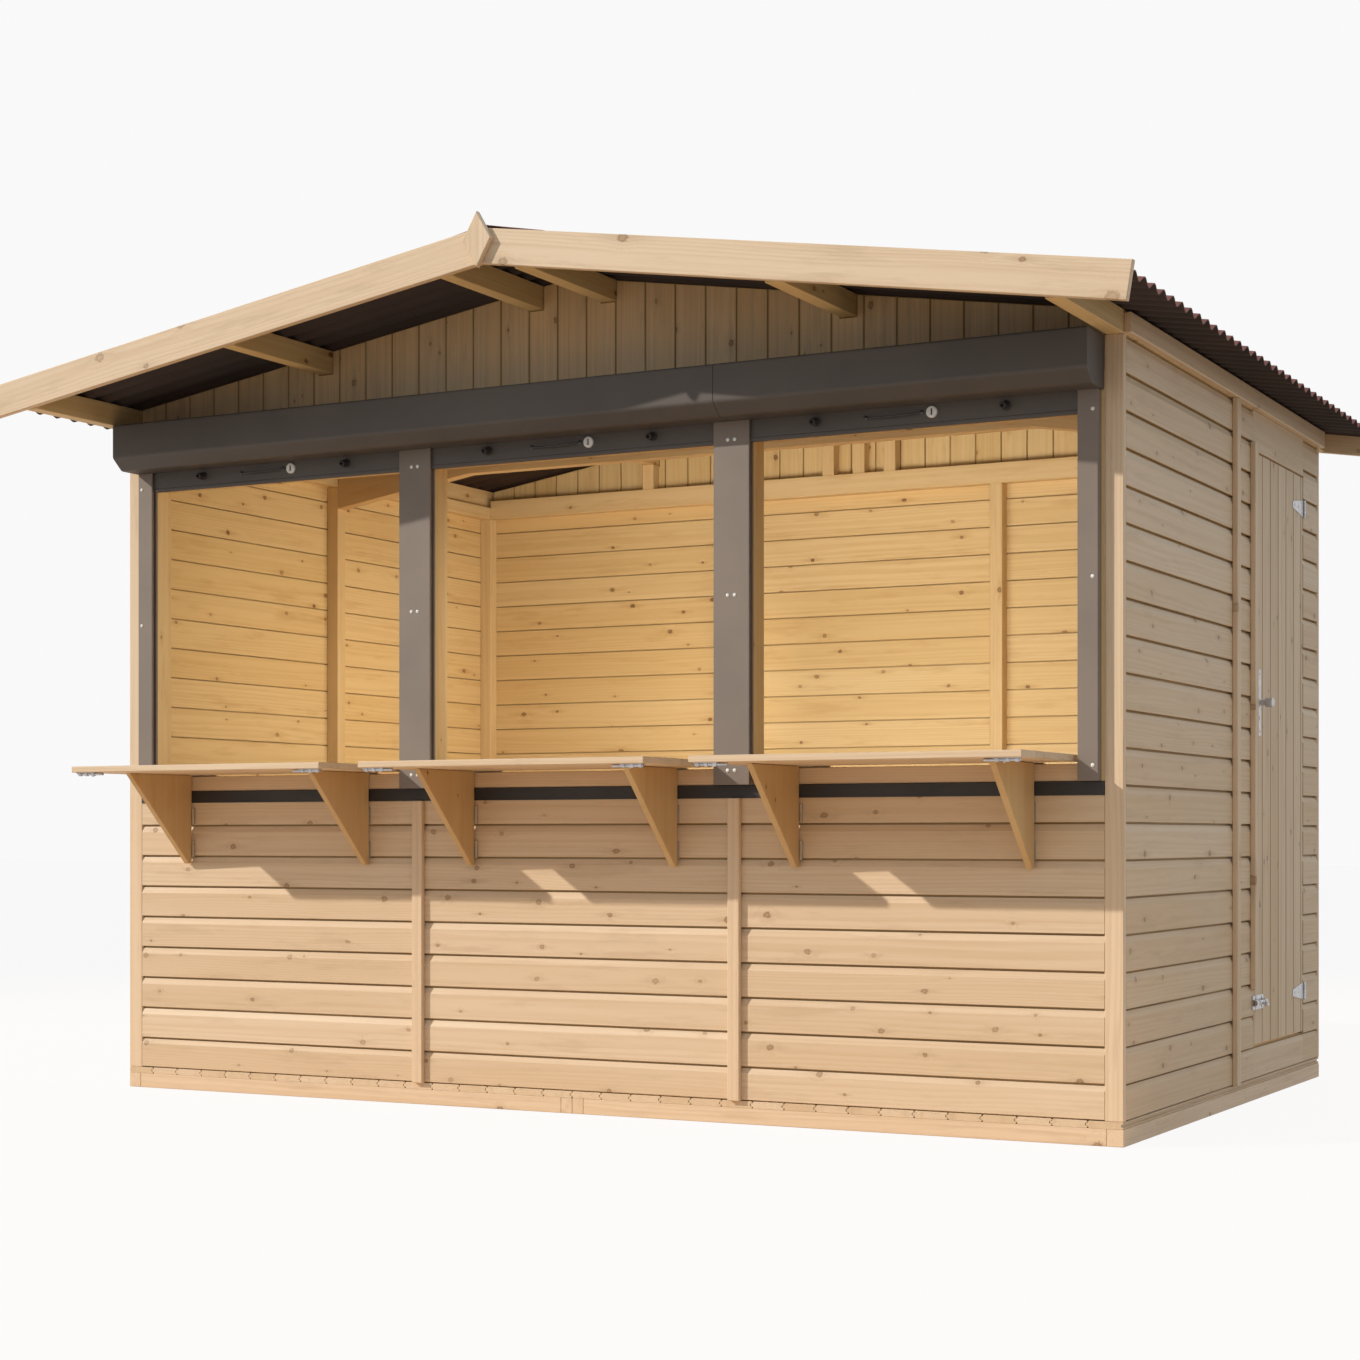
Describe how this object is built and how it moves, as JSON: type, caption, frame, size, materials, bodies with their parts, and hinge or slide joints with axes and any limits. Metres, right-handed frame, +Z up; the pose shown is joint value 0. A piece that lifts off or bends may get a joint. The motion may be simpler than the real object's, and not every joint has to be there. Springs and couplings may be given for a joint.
{
  "type": "market stall",
  "caption": "Timber market stall with a low gable roof, serving openings under a shutter box, fold-up counters on swing brackets and a side door.",
  "frame": {"origin": "on the ground under the middle of the floor", "axes": "X along the serving front to the right as seen from the front, Y from the front to the back, Z up"},
  "size_m": [3.5582, 2.664, 2.4228],
  "materials": {
    "cladding": "planed spruce boards, clear stain",
    "framing": "planed spruce, bare",
    "floor": "tongue and groove spruce, bare",
    "planed_board": "smooth planed spruce",
    "slate_metal": "satin dark grey coating",
    "zinc": "zinc plated, slightly dull",
    "rubber": "matte black",
    "white_metal": "satin white",
    "roof_sheet": "matte dark red coating"
  },
  "bodies": {
    "stall": {"corner_boards": "cladding", "front_wall": "cladding", "left_wall": "cladding", "right_wall": "cladding", "back_wall": "cladding", "gables": "cladding", "cover_battens": "cladding", "eaves_trims": "cladding", "floor_frame": "framing", "wall_studs": "framing", "front_jambs": "framing", "top_plates": "framing", "gable_studs": "framing", "sill_boards": "framing", "purlins": "framing", "roof_truss": "framing", "floor_boards": "floor", "bargeboards": "planed_board", "finials": "planed_board", "sill_flashing": "slate_metal", "guide_rails": "slate_metal", "shutter_box": "slate_metal", "end_slats": "slate_metal", "door_fixings": "zinc", "bracket_hinges": "zinc", "counter_hinges": "zinc", "shutter_stops": "rubber", "shutter_locks": "white_metal", "left_roof_sheet": "roof_sheet", "right_roof_sheet": "roof_sheet", "ridge_cap": "roof_sheet"},
    "door": {"door_leaf": "cladding", "door_furniture": "zinc"},
    "left_counter": {"left_counter": "planed_board", "left_counter_bolts": "zinc"},
    "left_bracket_a": {"left_bracket_a": "planed_board"},
    "left_bracket_b": {"left_bracket_b": "planed_board"},
    "middle_counter": {"middle_counter": "planed_board", "middle_counter_bolts": "zinc"},
    "middle_bracket_a": {"middle_bracket_a": "planed_board"},
    "middle_bracket_b": {"middle_bracket_b": "planed_board"},
    "right_counter": {"right_counter": "planed_board", "right_counter_bolts": "zinc"},
    "right_bracket_a": {"right_bracket_a": "planed_board"},
    "right_bracket_b": {"right_bracket_b": "planed_board"}
  },
  "joints": [
    {"name": "door_swing", "type": "hinge", "parent": "stall", "child": "door", "pos_m": [1.605, 0.813, 1], "axis": [0, 0, 1], "range_deg": [0, 110]},
    {"name": "left_counter_fold", "type": "hinge", "parent": "stall", "child": "left_counter", "pos_m": [-1.028, -1.013, 0.9645], "axis": [-1, 0, 0], "range_deg": [0, 90]},
    {"name": "middle_counter_fold", "type": "hinge", "parent": "stall", "child": "middle_counter", "pos_m": [0, -1.013, 0.9645], "axis": [-1, 0, 0], "range_deg": [0, 90]},
    {"name": "right_counter_fold", "type": "hinge", "parent": "stall", "child": "right_counter", "pos_m": [1.028, -1.013, 0.9645], "axis": [-1, 0, 0], "range_deg": [0, 90]},
    {"name": "left_bracket_a_swing", "type": "hinge", "parent": "stall", "child": "left_bracket_a", "pos_m": [-1.344, -1.031, 0.83], "axis": [0, 0, 1], "range_deg": [0, 90]},
    {"name": "left_bracket_b_swing", "type": "hinge", "parent": "stall", "child": "left_bracket_b", "pos_m": [-0.712, -1.031, 0.83], "axis": [0, 0, -1], "range_deg": [0, 90]},
    {"name": "middle_bracket_a_swing", "type": "hinge", "parent": "stall", "child": "middle_bracket_a", "pos_m": [-0.316, -1.031, 0.83], "axis": [0, 0, 1], "range_deg": [0, 90]},
    {"name": "middle_bracket_b_swing", "type": "hinge", "parent": "stall", "child": "middle_bracket_b", "pos_m": [0.316, -1.031, 0.83], "axis": [0, 0, -1], "range_deg": [0, 90]},
    {"name": "right_bracket_a_swing", "type": "hinge", "parent": "stall", "child": "right_bracket_a", "pos_m": [0.712, -1.031, 0.83], "axis": [0, 0, 1], "range_deg": [0, 90]},
    {"name": "right_bracket_b_swing", "type": "hinge", "parent": "stall", "child": "right_bracket_b", "pos_m": [1.344, -1.031, 0.83], "axis": [0, 0, -1], "range_deg": [0, 90]}
  ]
}
